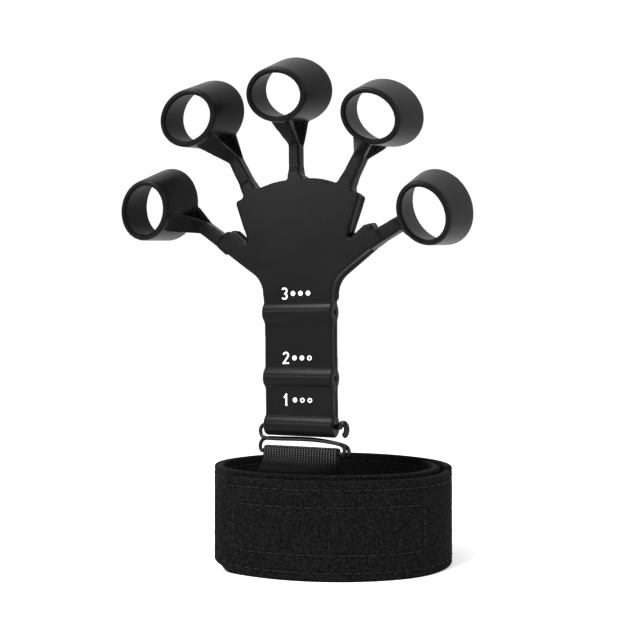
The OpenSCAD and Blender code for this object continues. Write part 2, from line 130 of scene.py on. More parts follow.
def tube(path, radii, sides):
    """Rings round a path of points. radii is one radius or one for each point."""
    path = np.asarray(path, float)
    radii = np.broadcast_to(radii, len(path))
    turn = np.linspace(0, 2 * np.pi, sides, endpoint=False)
    rings, side = [], None
    for i, p in enumerate(path):
        along = unit(path[min(i + 1, len(path) - 1)] - path[max(i - 1, 0)])
        if side is None:
            side = np.cross(along, (0.1, 1, 0.05))
        side = unit(side - along * (side @ along))
        other = np.cross(along, side)
        rings.append(p + radii[i] * (np.outer(np.cos(turn), side) + np.outer(np.sin(turn), other)))
    return np.array(rings)


def spline(points, steps):
    """A smooth curve through points, with a few steps between each pair."""
    p = np.asarray(points, float)
    p = np.vstack([2 * p[0] - p[1], p, 2 * p[-1] - p[-2]])
    t = np.arange(steps)[:, None] / steps
    rows = [
        0.5 * (2 * b + (c - a) * t + (2 * a - 5 * b + 4 * c - d) * t**2 + (3 * b - a - 3 * c + d) * t**3)
        for a, b, c, d in zip(p, p[1:], p[2:], p[3:])
    ]
    return np.vstack([*rows, p[-2]])


# ---------- Materials ----------


def near_black(level):
    """A dark grey with a trace of blue."""
    return (level, level, 1.035 * level)


class Shade:
    """A material of procedural nodes round one Principled shader."""

    def __init__(self, name, **constants):
        self.material = bpy.data.materials.new(name)
        self.material.use_nodes = True
        self.tree = self.material.node_tree
        self.shader = self.tree.nodes["Principled BSDF"]
        for socket, value in constants.items():
            self.shader.inputs[socket.replace("_", " ")].default_value = value
        self.place = self.add("ShaderNodeTexCoord").outputs["Object"]

    def add(self, kind, **inputs):
        node = self.tree.nodes.new(kind)
        for socket, value in inputs.items():
            self.put(node.inputs[socket.replace("_", " ")], value)
        return node

    def put(self, socket, value):
        if isinstance(value, bpy.types.NodeSocket):
            self.tree.links.new(value, socket)
        else:
            socket.default_value = value

    def stretched(self, x, y, z):
        """The place, scaled along each axis."""
        node = self.add("ShaderNodeMapping", Vector=self.place)
        node.inputs["Scale"].default_value = (x, y, z)
        return node.outputs["Vector"]

    def noise(self, size, detail=3.0, roughness=0.5, place=None):
        """Noise from 0 to 1 whose lumps are about that many metres across."""
        node = self.add("ShaderNodeTexNoise", Vector=place or self.place, Scale=1 / size,
                        Detail=detail, Roughness=roughness)
        return node.outputs["Fac"]

    def cells(self, size):
        node = self.add("ShaderNodeTexVoronoi", Vector=self.place, Scale=1 / size)
        return node.outputs["Distance"]

    def ramp(self, value, *stops):
        """A colour or a grey for each place along a value."""
        node = self.add("ShaderNodeValToRGB", Fac=value)
        for i, (at, colour) in enumerate(stops):
            stop = node.color_ramp.elements[i] if i < 2 else node.color_ramp.elements.new(at)
            stop.position = at
            stop.color = (*colour, 1) if isinstance(colour, tuple) else (colour, colour, colour, 1)
        return node.outputs["Color"]

    def maths(self, operation, a, b=0.0):
        node = self.tree.nodes.new("ShaderNodeMath")
        node.operation = operation
        self.put(node.inputs[0], a)
        self.put(node.inputs[1], b)
        return node.outputs[0]

    def split(self, vector):
        node = self.add("ShaderNodeSeparateXYZ", Vector=vector)
        return [node.outputs[axis] for axis in "XYZ"]

    def mix(self, share, a, b):
        node = self.tree.nodes.new("ShaderNodeMix")
        node.data_type = "RGBA"
        self.put(node.inputs["Factor"], share)
        self.put(node.inputs["A"], a)
        self.put(node.inputs["B"], b)
        return node.outputs["Result"]

    def colour(self, value):
        self.put(self.shader.inputs["Base Color"], value)

    def rough(self, value):
        self.put(self.shader.inputs["Roughness"], value)

    def bumps(self, *layers):
        """Layers of (height, depth in metres), one on another."""
        normal = None
        for height, depth in layers:
            node = self.add("ShaderNodeBump", Height=height, Distance=depth, Strength=1.0)
            if normal:
                self.put(node.inputs["Normal"], normal)
            normal = node.outputs["Normal"]
        self.put(self.shader.inputs["Normal"], normal)


def silicone_material(name, gloss):
    s = Shade(name, Specular_IOR_Level=gloss)
    cloudy = s.noise(22 * MM, 4)
    grain = s.noise(0.5 * MM, 3)
    specks = s.ramp(s.noise(1.1 * MM, 1), (0.70, 0.0), (0.76, 1.0))
    base = s.ramp(cloudy, (0.3, near_black(0.003)), (0.7, near_black(0.0046)))
    s.colour(s.mix(specks, base, (*near_black(0.0065), 1)))
    s.rough(s.ramp(s.mix(0.35, cloudy, grain), (0.3, 0.28), (0.7, 0.38)))
    s.bumps((grain, 0.02 * MM), (s.noise(5 * MM, 2), 0.05 * MM))
    return s.material


def pile_material():
    s = Shade("loop_pile", Sheen_Weight=0.003, Sheen_Roughness=0.4, Specular_IOR_Level=0.02)
    wales = s.noise(0.42 * MM, 3, 0.6, s.stretched(1, 1, 0.42))
    fuzz = s.noise(0.34 * MM, 4, 0.65)
    worn = s.noise(14 * MM, 3)
    base = s.ramp(s.mix(0.5, wales, fuzz), (0.41, near_black(0.0005)), (0.50, near_black(0.0028)),
                  (0.60, near_black(0.0135)))
    s.colour(s.mix(s.ramp(worn, (0.35, 0.0), (0.75, 0.2)), base, (*near_black(0.005), 1)))
    s.rough(s.ramp(fuzz, (0.3, 0.86), (0.7, 0.98)))
    s.bumps((wales, 0.28 * MM), (fuzz, 0.16 * MM))
    return s.material


def lining_material():
    s = Shade("knit_lining", Sheen_Weight=0.003, Sheen_Roughness=0.5, Specular_IOR_Level=0.04)
    knit = s.noise(0.5 * MM, 2, 0.5, s.stretched(1, 1, 0.55))
    fuzz = s.noise(0.25 * MM, 3, 0.6)
    s.colour(s.ramp(s.mix(0.4, knit, fuzz), (0.35, near_black(0.0008)), (0.68, near_black(0.0055))))
    s.rough(s.ramp(fuzz, (0.3, 0.84), (0.7, 0.96)))
    s.bumps((knit, 0.16 * MM), (fuzz, 0.08 * MM))
    return s.material


def foam_material():
    s = Shade("foam_edge", Specular_IOR_Level=0.05)
    pores = s.cells(0.55 * MM)
    patches = s.noise(3 * MM, 3)
    s.colour(s.mix(s.ramp(patches, (0.3, 0.0), (0.7, 0.5)),
                   s.ramp(pores, (0.1, near_black(0.002)), (0.6, near_black(0.008))),
                   (*near_black(0.008), 1)))
    s.rough(s.ramp(pores, (0.1, 0.95), (0.6, 0.82)))
    s.bumps((pores, 0.2 * MM))
    return s.material


def thread_material():
    s = Shade("thread", Specular_IOR_Level=0.12)
    twist = s.noise(0.16 * MM, 2)
    s.colour(s.ramp(s.mix(0.5, twist, s.noise(6 * MM, 2)), (0.35, near_black(0.003)),
                    (0.65, near_black(0.0105))))
    s.rough(s.ramp(twist, (0.3, 0.5), (0.7, 0.7)))
    s.bumps((twist, 0.06 * MM))
    return s.material


def webbing_material():
    """Bright yarns over gaps darkened with painted shade, in the same ribs and chevrons as the webbing's shape.
    Lower on the tab the weave turns to a darker copy, painted shade from the strap's front wall.
    """
    s = Shade("webbing_yarn", Specular_IOR_Level=0.02)
    across, _, up = s.split(s.place)
    across = s.maths("SUBTRACT", across, bar[0])
    rib = s.maths("ABSOLUTE", s.maths("COSINE", s.maths("MULTIPLY", across, math.pi / RIB)))
    slant = s.maths("PINGPONG", across, RIB)
    rise = s.maths("ADD", up, s.maths("MULTIPLY", slant, YARN / RIB))
    yarn = s.maths("SINE", s.maths("MULTIPLY", rise, 2 * math.pi / YARN))
    yarn = s.maths("ADD", s.maths("MULTIPLY", yarn, 0.5), 0.5)
    weave = s.maths("MULTIPLY", rib, s.maths("ADD", s.maths("MULTIPLY", yarn, 0.6), 0.4))
    fibres = s.noise(0.22 * MM, 3, 0.6, s.stretched(1.6, 1, 0.5))
    patches = s.noise(5 * MM, 3)
    cloth = s.mix(0.3, weave, s.mix(0.35, fibres, patches))
    # The weave's gaps are near black: painted shade between the yarns, on top of the weave's own pattern.
    yarns = s.ramp(cloth, (0.25, near_black(0.0005)), (0.5, near_black(0.006)),
                   (0.8, near_black(0.07)))
    # A darker copy of the weave: painted shade for the lower part of the tab, under the strap's front wall.
    shaded_yarns = s.ramp(cloth, (0.25, near_black(0.0003)), (0.8, near_black(0.004)))
    # Mixed by height, not by wear: below its top few millimetres the tab takes the darker copy, as painted shade.
    worn = s.ramp(s.maths("MULTIPLY", up, 1 / BAND_H / 1.2), (0.90, 0.0), (0.985, 1.0))
    s.colour(s.mix(worn, shaded_yarns, yarns))
    s.rough(s.ramp(fibres, (0.3, 0.42), (0.7, 0.62)))
    s.bumps((fibres, 0.06 * MM))
    return s.material


def hook_tape_material():
    s = Shade("hook_tape_nylon")
    grain = s.noise(0.4 * MM, 3)
    s.colour(s.ramp(s.noise(4 * MM, 3), (0.3, near_black(0.005)), (0.7, near_black(0.012))))
    s.rough(s.ramp(grain, (0.3, 0.34), (0.7, 0.52)))
    s.bumps((grain, 0.03 * MM))
    return s.material


def wire_material():
    s = Shade("gloss_black_wire", Specular_IOR_Level=0.15)
    coat = s.noise(2.2 * MM, 4)
    scratches = s.noise(0.35 * MM, 2, 0.5, s.stretched(0.25, 1, 1))
    s.colour(s.ramp(s.mix(0.4, coat, scratches), (0.35, near_black(0.001)), (0.68, near_black(0.004))))
    s.rough(s.ramp(scratches, (0.3, 0.08), (0.72, 0.18)))
    s.bumps((scratches, 0.012 * MM))
    return s.material


def ink_material():
    s = Shade("white_print")
    speckle = s.noise(0.35 * MM, 3)
    worn = s.noise(1.8 * MM, 3)
    s.colour(s.ramp(s.mix(0.5, speckle, worn), (0.3, 0.62), (0.48, 0.84)))
    s.rough(s.ramp(speckle, (0.3, 0.45), (0.7, 0.6)))
    s.bumps((speckle, 0.015 * MM))
    return s.material


def floor_material():
    s = Shade("pale_floor")
    s.colour(s.ramp(s.noise(0.3, 2), (0.3, 0.93), (0.7, 0.95)))
    s.rough(s.ramp(s.noise(0.05, 2), (0.3, 0.75), (0.7, 0.8)))
    return s.material


BAND_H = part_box("strap_pile_cloth")[1].z
# The webbing's ribs and the rows of its yarns
RIB, YARN = 1.2 * MM, 0.95 * MM
bar = joint_at("buckle_swing")

SILICONE = silicone_material("black_silicone", 0.05)
# The bores of the loops get a copy with weaker reflections than the outside: painted shade inside the loops
SHADED_BORE_SILICONE = silicone_material("dull_bore_silicone", 0.012)
PILE = pile_material()
LINING = lining_material()
FOAM = foam_material()
THREAD = thread_material()
WEBBING = webbing_material()
HOOK_TAPE = hook_tape_material()
WIRE = wire_material()
INK = ink_material()

# ---------- The strap's line ----------
# An oval of four arcs, seen from above: two end bends and two long bends. The back bend
# steps out, so that the band passes over its own tucked end.

STRAP_W, STRAP_FRONT, STRAP_BACK, END_R = 97 * MM, 36 * MM, 39 * MM, 32 * MM
STRAP_TURN = math.radians(16)
PILE_T, FOAM_T, LINING_T, TAPE_T = 0.9 * MM, 2.2 * MM, 0.6 * MM, 0.9 * MM
BAND_T = PILE_T + FOAM_T + LINING_T
STEP = BAND_T + TAPE_T + 0.3 * MM
FLAP_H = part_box("flap_pile_cloth")[1].z
# Angles round the end bends, in degrees: where the flap starts and ends, where the hook tape
# starts, and how far the tucked end runs past the start of the back bend
FLAP_ROOT, FLAP_TIP, TAPE_RIGHT, TUCKED = 4, 225, -44, 8
CORNER_R = 11 * MM
# The first part of the flap, which bends as the rest of it peels
PEEL_TURN = math.radians(3.5)

end_x = STRAP_W / 2 - END_R


def long_radius(depth):
    return (end_x**2 + depth**2 - END_R**2) / (2 * (depth - END_R))


front_r, back_r = long_radius(STRAP_FRONT), long_radius(STRAP_BACK)
front_y = front_r - STRAP_FRONT
front_half = math.degrees(math.asin(end_x / (front_r - END_R)))
back_x = STEP * (2 * (back_r - END_R) - STEP) / (4 * end_x)
back_y = -math.sqrt((back_r - END_R) ** 2 - (back_x + end_x) ** 2)
back_left = math.degrees(math.atan2(-back_y, -end_x - back_x))
back_right = math.degrees(math.atan2(-back_y, end_x - back_x))
front_right, front_left = front_half - 90, 270 - front_half
strap_axes = np.array([[math.cos(STRAP_TURN), math.sin(STRAP_TURN)],
                       [-math.sin(STRAP_TURN), math.cos(STRAP_TURN)]])
peel_r = END_R + STEP
strap_mid = joint_at("flap_peel")[:2] - np.array(
    [end_x + peel_r * math.cos(PEEL_TURN), peel_r * math.sin(PEEL_TURN)]) @ strap_axes


class Line:
    """A line round the strap, with its outer face's points and outward directions."""

    def __init__(self, arcs, step):
        points, outs = [], []
        for centre, r, a0, a1 in arcs:
            n = max(2, math.ceil(abs(math.radians(a1 - a0)) * r / step))
            turn = np.radians(np.linspace(a0, a1, n + 1))[0 if not points else 1:]
            out = np.stack([np.cos(turn), np.sin(turn)], 1)
            points.append(centre + r * out)
            outs.append(out)
        self.points = strap_mid + np.vstack(points) @ strap_axes
        self.outs = np.vstack(outs) @ strap_axes
        gaps = np.linalg.norm(np.diff(self.points, axis=0), axis=1)
        self.s = np.concatenate([[0], np.cumsum(gaps)])
        self.length = self.s[-1]

    def at(self, s, depth, z):
        """The place at a distance along the line, a depth inwards and a height."""
        place = [np.interp(s, self.s, self.points[:, k]) - depth * np.interp(s, self.s, self.outs[:, k])
                 for k in (0, 1)]
        return np.stack(np.broadcast_arrays(*place, z), -1)

    def along(self, angle, centre):
        """The distance along the line where it passes an angle round an end bend or the front."""
        out = np.array([math.cos(math.radians(angle)), math.sin(math.radians(angle))])
        spot = strap_mid + (centre + 60 * MM * out) @ strap_axes
        return self.s[np.argmin(np.linalg.norm(self.points - spot, axis=1))]


GRID = 0.75 * MM
RIGHT, LEFT, FRONT = np.array([end_x, 0]), np.array([-end_x, 0]), np.array([0, front_y])
BACK = np.array([back_x, back_y])
base_line = Line([(RIGHT, END_R, back_right - TUCKED, front_right),
                  (FRONT, front_r, front_right, front_left - 360),
                  (LEFT, END_R, front_left, back_left),
                  (BACK, back_r, back_left, back_right),
                  (RIGHT, END_R + STEP, back_right, FLAP_ROOT)], GRID)
flap_line = Line([(RIGHT, END_R + STEP, FLAP_ROOT, front_right),
                  (FRONT, front_r + STEP, front_right, front_left - 360),
                  (LEFT, END_R + STEP, front_left, FLAP_TIP)], GRID)


def soft_noise(rows, columns, passes=1):
    """Even lumps over a grid, with a spread of about one."""
    lumps = rng.normal(size=(rows, columns))
    for _ in range(passes):
        lumps = (np.roll(lumps, 1, 0) + 2 * lumps + np.roll(lumps, -1, 0)) / 4
        lumps = (np.roll(lumps, 1, 1) + 2 * lumps + np.roll(lumps, -1, 1)) / 4
    return lumps / lumps.std()


def layer_section(depth0, depth1, lip, rows):
    """A layer's section as rows of depth, share of the height and which face: the first face's
    rows, a round lip at the top, the second face down again and the lip at the bottom."""
    turn = np.linspace(0, math.pi / 2, 5)
    face = np.linspace(0, 1, rows)
    back = np.linspace(1, 0, 12)
    mid = (depth0 + depth1) / 2
    way = 1 if depth1 > depth0 else -1
    lip = min(lip, abs(depth1 - depth0))
    section = [(depth0, t, 0.0, 1) for t in face]
    section += [(depth0 + way * lip * (1 - math.cos(a)), 1.0, lip * math.sin(a), 0) for a in turn[1:]]
    section += [(depth1, t, lip if t > 0.5 else -lip, 0) for t in back]
    section += [(depth0 + way * lip * (1 - math.cos(a)), 0.0, -lip * math.sin(a), 0) for a in turn[:0:-1]]
    return np.array(section), mid


# How far from the flap's tip its layers start to thin, and the depth of a seam's groove
TIP_EASE, GROOVE = 0.7 * MM, 0.3 * MM


def layer(name, line, depth0, depth1, height, material, lip=0.5 * MM, rows=50, rough=0.0, seams=(),
          tip_r=0.0, low=0.0, high=None, first=0.0, last=None):
    """One layer of the band, swept along a line between two depths. The face at depth0 carries
    the pile's lumps and the grooves of its seams, rows of (from, to, height, width)."""
    high = height if high is None else high
    last = line.length if last is None else last
    section, mid = layer_section(depth0, depth1, lip, rows)
    s = line.s[(line.s > first + 0.2 * MM) & (line.s < last - 0.2 * MM)]
    near_tip = []
    if tip_r:
        s = s[s < last - TIP_EASE]
        near_tip = last - np.array([0.6, 0.3, 0.1, 0.02]) * MM
    s = np.concatenate([[first], s, near_tip, [last]])
    from_tip = line.length - s
    into_corner = np.maximum(tip_r - from_tip, 0)
    corner = tip_r - np.sqrt(np.maximum(tip_r**2 - into_corner**2, 0))
    bottom, top = low + corner + lip, high - corner - lip
    z = bottom[:, None] + (top - bottom)[:, None] * section[:, 1] + section[:, 2]
    bumps = np.where(section[:, 3] > 0, 1.0, 0.0) * rough * soft_noise(len(s), len(section))
    for s0, s1, seam_z, width in seams:
        inside = smooth_step((s - s0) / (2 * MM)) * smooth_step((s1 - s) / (2 * MM))
        bumps -= inside[:, None] * section[:, 3] * GROOVE * np.exp(-(((z - seam_z) / width) ** 2))
    way = 1 if depth1 > depth0 else -1
    depth = section[:, 0] - way * bumps
    if tip_r:
        ease = np.clip(from_tip / TIP_EASE, 0, 1)
        depth = mid + (depth - mid) * np.sqrt(1 - (1 - ease) ** 2 * 0.9)[:, None]
    rings = line.at(s[:, None], depth, z)
    points, faces = joined_tubes([rings])
    return add_mesh(name, points, faces, material)


# ---------- Seams ----------

STITCH, STITCH_GAP, THREAD_R = 3.0 * MM, 1.1 * MM, 0.19 * MM


def stitches(name, rows):
    """Sewn stitches along rows of (dense points, their outward directions)."""
    tubes = []
    for place, out in rows:
        run = np.concatenate([[0], np.cumsum(np.linalg.norm(np.diff(place, axis=0), axis=1))])
        count = int((run[-1] + STITCH_GAP) // (STITCH + STITCH_GAP))
        for k in range(count):
            start = k * (STITCH + STITCH_GAP) + rng.normal() * 0.08 * MM
            t = np.linspace(0, 1, 7)
            at = start + t * STITCH
            line = np.stack([np.interp(at, run, place[:, i]) for i in range(3)], 1)
            away = np.stack([np.interp(at, run, out[:, i]) for i in range(3)], 1)
            rise = np.sin(np.pi * t) ** 0.5 * 0.3 * MM - 0.24 * MM
            tubes.append(tube(line + away * rise[:, None], THREAD_R * (0.75 + 0.25 * np.sin(np.pi * t)), 6))
    points, faces = joined_tubes(tubes)
    return add_mesh(name, points, faces, THREAD, sharp=180)


def seam_on(line, route, depth=0.0, out=1):
    """A seam along a route of (distance, height) on a face of a line, as points and outward directions."""
    route = np.asarray(route, float)
    run = np.concatenate([[0], np.cumsum(np.linalg.norm(np.diff(route, axis=0), axis=1))])
    at = np.linspace(0, run[-1], max(3, int(run[-1] / (0.5 * MM))))
    s, z = np.interp(at, run, route[:, 0]), np.interp(at, run, route[:, 1])
    place = line.at(s, depth, z)
    return place, (line.at(s, depth - out * MM, z) - place) / MM


def rounded_route(corners, radius, steps=6):
    """A closed or open route through corners (distance, height), each rounded off."""
    route = [corners[0]]
    for a, b, c in zip(corners, corners[1:], corners[2:]):
        a, b, c = (np.array(p, float) for p in (a, b, c))
        before, after = b + unit(a - b) * radius, b + unit(c - b) * radius
        for t in np.linspace(0, 1, steps):
            route.append((1 - t) ** 2 * before + 2 * t * (1 - t) * b + t**2 * after)
    return [*route, corners[-1]]


SEAM_INSET = 3.5 * MM
BASE_SEAMS = (SEAM_INSET, BAND_H - SEAM_INSET)
FLAP_SEAMS = (SEAM_INSET, FLAP_H - SEAM_INSET)
tape_low, tape_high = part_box("flap_hook_tape")[0].z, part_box("flap_hook_tape")[1].z
tape_from = flap_line.along(TAPE_RIGHT, RIGHT)
tape_to = flap_line.along(front_left, LEFT)


def build_strap():
    lap = base_line.length
    seam_rows = [(0, lap, z, 0.7 * MM) for z in BASE_SEAMS]
    pile = layer("strap_pile", base_line, 0, PILE_T, BAND_H, PILE, lip=0.8 * MM, rows=58, rough=0.05 * MM,
                 seams=seam_rows)
    foam = layer("strap_foam", base_line, PILE_T, BAND_T - LINING_T, BAND_H, FOAM, rows=8,
                 low=0.25 * MM, high=BAND_H - 0.25 * MM)
    lining = layer("strap_inner_cloth", base_line, BAND_T, BAND_T - LINING_T, BAND_H, LINING, rows=50,
                   rough=0.025 * MM, seams=seam_rows)
    inside = [seam_on(base_line, [(2 * MM, z), (lap - 2 * MM, z)], BAND_T, -1) for z in BASE_SEAMS]
    outside = [seam_on(base_line, [(2 * MM, z), (lap - 2 * MM, z)]) for z in BASE_SEAMS]
    thread = stitches("strap_seams", inside + outside)
    for piece, node, slot in ((pile, "strap_pile_cloth", "pile_cloth"),
                              (foam, "strap_foam_core", "foam"),
                              (lining, "strap_lining", "lining"),
                              (thread, "strap_edge_stitching", "thread")):
        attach(piece, "strap")
        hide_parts(node)


def hook_field(line):
    """Rows of small hooks on the hook tape, each a bent stalk."""
    tubes = []
    pitch_s, pitch_z, r = 1.7 * MM, 1.5 * MM, 0.14 * MM
    for i, s in enumerate(np.arange(tape_from + 1.2 * MM, tape_to - 1.2 * MM, pitch_s)):
        way = 1 if i % 2 else -1
        for z in np.arange(tape_low + 1.5 * MM, tape_high - 1.2 * MM, pitch_z):
            bend = np.array([(0, 0), (0, 0.28), (0.1, 0.46), (0.28, 0.5), (0.36, 0.36)]) * MM
            depth = BAND_T + TAPE_T - 0.5 * MM + bend[:, 1]
            tubes.append(tube(line.at(np.full(5, s), depth, z + way * bend[:, 0]), r, 4))
    return joined_tubes(tubes)


def build_flap():
    edge_end = flap_line.length - SEAM_INSET
    edge_route = rounded_route([(1 * MM, FLAP_SEAMS[0]), (edge_end, FLAP_SEAMS[0]),
                                (edge_end, FLAP_SEAMS[1]), (1 * MM, FLAP_SEAMS[1])], 7 * MM)
    frame_low, frame_high = tape_low + 0.8 * MM, tape_high - 0.8 * MM
    tape_route = rounded_route([(tape_from + 9 * MM, frame_low), (tape_to, frame_low), (tape_to, frame_high),
                                (tape_from, frame_high), (tape_from, frame_low),
                                (tape_from + 9 * MM, frame_low)], 4.5 * MM)
    rows = [(0, flap_line.length - 8 * MM, z, 0.7 * MM) for z in FLAP_SEAMS]
    rows += [(tape_from + 3 * MM, tape_to - 3 * MM, z, 0.6 * MM) for z in (frame_low, frame_high)]
    pile = layer("flap_pile", flap_line, 0, PILE_T, FLAP_H, PILE, lip=0.8 * MM, rows=58, rough=0.06 * MM,
                 seams=rows, tip_r=CORNER_R)
    foam = layer("flap_foam", flap_line, PILE_T, BAND_T - LINING_T, FLAP_H, FOAM, rows=8, tip_r=CORNER_R,
                 low=0.25 * MM, high=FLAP_H - 0.25 * MM, last=flap_line.length - 0.3 * MM)
    lining = layer("flap_inner_cloth", flap_line, BAND_T, BAND_T - LINING_T, FLAP_H, LINING, rows=50,
                   rough=0.025 * MM, tip_r=CORNER_R)
    tape = layer("flap_hooks_backing", flap_line, BAND_T + TAPE_T - 0.5 * MM, BAND_T, FLAP_H, HOOK_TAPE,
                 lip=0.15 * MM, rows=6, low=tape_low, high=tape_high, first=tape_from, last=tape_to)
    hook_points, hook_faces = hook_field(flap_line)
    hooks = add_mesh("flap_hooks", hook_points, hook_faces, HOOK_TAPE, sharp=180)
    edge = stitches("flap_edge_seam", [seam_on(flap_line, edge_route)])
    frame_seam = stitches("flap_tape_seam", [seam_on(flap_line, tape_route)])
    for piece, nodes, slot in ((pile, ["flap_pile_cloth"], "pile_cloth"),
                               (foam, ["flap_foam_core"], "foam"),
                               (lining, ["flap_lining"], "lining"),
                               (tape, ["flap_hook_tape"], "hook_tape"),
                               (hooks, [], "hook_tape"),
                               (edge, ["flap_edge_stitching"], "thread"),
                               (frame_seam, ["hook_tape_stitching"], "thread")):
        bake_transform(piece)
        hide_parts(*nodes)


# ---------- Webbing tab ----------

TAB_T, TAB_FOOT, TAB_NECK = 1.2 * MM, 9 * MM, 46.2 * MM
# The fold's outer radius, with room in it for the buckle's bar
FOLD_R = 0.88 * MM + TAB_T
TAB_SEAM_INSET, TAB_SEAM_LOW, TAB_SEAM_HIGH = 3.3 * MM, 13.3 * MM, 33.3 * MM
tab_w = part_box("webbing_tab")[1].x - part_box("webbing_tab")[0].x
front_mid = strap_mid + FRONT @ strap_axes


def wall_y(x):
    """The strap's inner face behind the front wall, in front of the tab."""
    return front_mid[1] - np.sqrt((front_r - BAND_T - 0.3 * MM) ** 2 - (x - front_mid[0]) ** 2)


def tab_front(x, z):
    """The front face of the tab: flat below the fold, then along the strap's wall."""
    ease = smooth_step((TAB_NECK - z) / (TAB_NECK - BAND_H))
    return (1 - ease) * (bar[1] - FOLD_R) + ease * wall_y(x)


def build_webbing():
    across = np.arange(-tab_w / 2, tab_w / 2 + 1e-6, 0.3 * MM)
    mid_r = FOLD_R - TAB_T / 2
    step = 0.32 * MM
    legs = np.arange(TAB_FOOT, bar[2], step)
    turn = np.linspace(0, math.pi, 22)[1:-1]
    columns = []
    for x in across + bar[0]:
        front_leg = [(tab_front(x, z) + TAB_T / 2, z) for z in legs]
        over = [(bar[1] - mid_r * math.cos(a), bar[2] + mid_r * math.sin(a)) for a in turn]
        close = smooth_step((bar[2] - legs) / (bar[2] - TAB_NECK))
        back = (1 - close) * (bar[1] + mid_r) + close * (tab_front(x, legs) + 1.5 * TAB_T)
        columns.append(front_leg + over + list(zip(back, legs))[::-1])
    path = np.array(columns)
    along = np.gradient(path, axis=1)
    away = np.stack([-along[..., 1], along[..., 0]], -1)
    away /= np.linalg.norm(away, axis=-1, keepdims=True)
    steps = np.linalg.norm(np.diff(path, axis=1), axis=-1)
    run = np.concatenate([np.full((len(across), 1), TAB_FOOT), np.cumsum(steps, axis=1) + TAB_FOOT], axis=1)
    up = np.concatenate([legs, bar[2] + mid_r * turn, bar[2] + np.pi * mid_r + (bar[2] - legs[::-1])])
    rib = np.abs(np.cos(np.pi * across / RIB))[:, None]
    slant = (0.5 - np.abs((across / (2 * RIB)) % 1 - 0.5))[:, None] * 2 * YARN
    yarn = 0.5 + 0.5 * np.sin(2 * np.pi * (up + slant) / YARN)
    edge = smooth_step((tab_w / 2 - np.abs(across)) / (0.7 * MM))[:, None]
    raised = (0.13 * rib**0.7 + 0.11 * yarn * rib + 0.01 * rng.normal(size=run.shape)) * MM
    half = (TAB_T / 2 - 0.12 * MM) * (0.45 + 0.55 * edge)
    outer, inner = path + away * (half + raised)[..., None], path - away * half[..., None]
    xs = np.broadcast_to((across + bar[0])[:, None, None], (*outer.shape[:2], 1))
    shell = np.concatenate([np.concatenate([xs, outer], -1), np.concatenate([xs, inner], -1)[::-1]], 0)
    rings = np.swapaxes(shell, 0, 1)
    points, faces = joined_tubes([rings])
    tab = add_mesh("webbing_fold", points, faces, WEBBING, sharp=75)
    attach(tab, "strap")
    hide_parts("webbing_tab")


def build_webbing_seams():
    """A frame of stitches on the back of the tab."""
    left, right = bar[0] - tab_w / 2 + TAB_SEAM_INSET, bar[0] + tab_w / 2 - TAB_SEAM_INSET
    low, high = TAB_SEAM_LOW, TAB_SEAM_HIGH
    routes = [[(left, low), (right, low)], [(left, high), (right, high)],
              [(left, low), (left, high)], [(right, low), (right, high)]]
    rows = []
    for (x0, z0), (x1, z1) in routes:
        n = 80
        x, z = np.linspace(x0, x1, n), np.linspace(z0, z1, n)
        place = np.stack([x, wall_y(x) + 2 * TAB_T + 0.12 * MM, z], 1)
        rows.append((place, np.tile((0.0, 1.0, 0.0), (n, 1))))
    seam = stitches("webbing_seams", rows)
    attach(seam, "strap")
    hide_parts("webbing_stitching")


# ---------- Buckle ----------
# Points of the one bent wire, measured in millimetres from the middle of its pin: across,
# forward and back, up. It runs from the open hook through the pin, round the left end, over
# the middle bar, down the right corner, back along the lower bar and up to its curled tail.

WIRE_R, HOOK_R = 0.8 * MM, 1.2 * MM
# Steps of the curve from each point to the next, and the pin's and the lower bar's points across
WIRE_STEPS = 8
PIN_POINTS = (12, 6, 0, -6, -12)
BAR_DROP = -10.5
WIRE_HOOK = [(18.1, 0, -3.6), (19.3, 0, -2.8), (19.8, 0, -1.2), (19.6, 0, 0.3), (18.8, 0, 1.4),
             (17.8, 0, 1.3), (17, 0, 0.4), (16.5, 0, 0)]
WIRE_LEFT = [(-15, 0, 0), (-16.2, 0, -0.1), (-17.7, 0, -0.6), (-18.6, 0, -2.1), (-18.5, -0.1, -3.6),
             (-17.5, -0.6, -5), (-15, -0.95, -5.6), (-10, -0.95, -5.7), (0, -0.95, -5.5),
             (7, -0.95, -5.6), (13, -0.95, -6.1), (17.2, -0.95, -6.8), (18.8, -0.7, -7.8),
             (19, -0.3, -9.5), (18.1, 0, -10.9), (16.2, 0, -10.5)]
WIRE_TAIL = [(-16.2, 0, -10.5), (-18, 0, -10.9), (-18.9, 0.3, -9.6), (-18.8, 0.6, -7.8),
             (-17.7, 0.9, -6.3), (-15, 0.95, -5.7), (-10, 0.95, -5.6), (0, 0.95, -5.4),
             (7, 0.95, -5.6), (13, 0.95, -6.3), (17.4, 0.95, -7.1), (19.6, 0.9, -8),
             (20.4, 0.9, -9.4), (20.2, 0.9, -11)]


def build_buckle():
    """The wire, thicker along its hook and with round ends."""
    pin = joint_at("web_fold")
    straight = [(x, 0, 0) for x in PIN_POINTS]
    lower = [(x, 0, BAR_DROP) for x in PIN_POINTS]
    route = spline(WIRE_HOOK + straight + WIRE_LEFT + lower + WIRE_TAIL, WIRE_STEPS) * MM
    hooked = smooth_step((route[:, 0] - 15.6 * MM) / (1.2 * MM)) * (route[:, 2] > -4.5 * MM)
    hooked[(len(WIRE_HOOK) + 1) * WIRE_STEPS:] = 0
    radii = WIRE_R + (HOOK_R - WIRE_R) * hooked
    ends = np.array([0.25, 0.62, 0.86, 0.97])
    radii[:4] *= ends
    radii[-4:] *= ends[::-1]
    points, faces = joined_tubes([tube(pin + route, radii, 14)])
    wire = add_mesh("bent_wire", points, faces, WIRE)
    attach(wire, "buckle")
    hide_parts("buckle_wire")


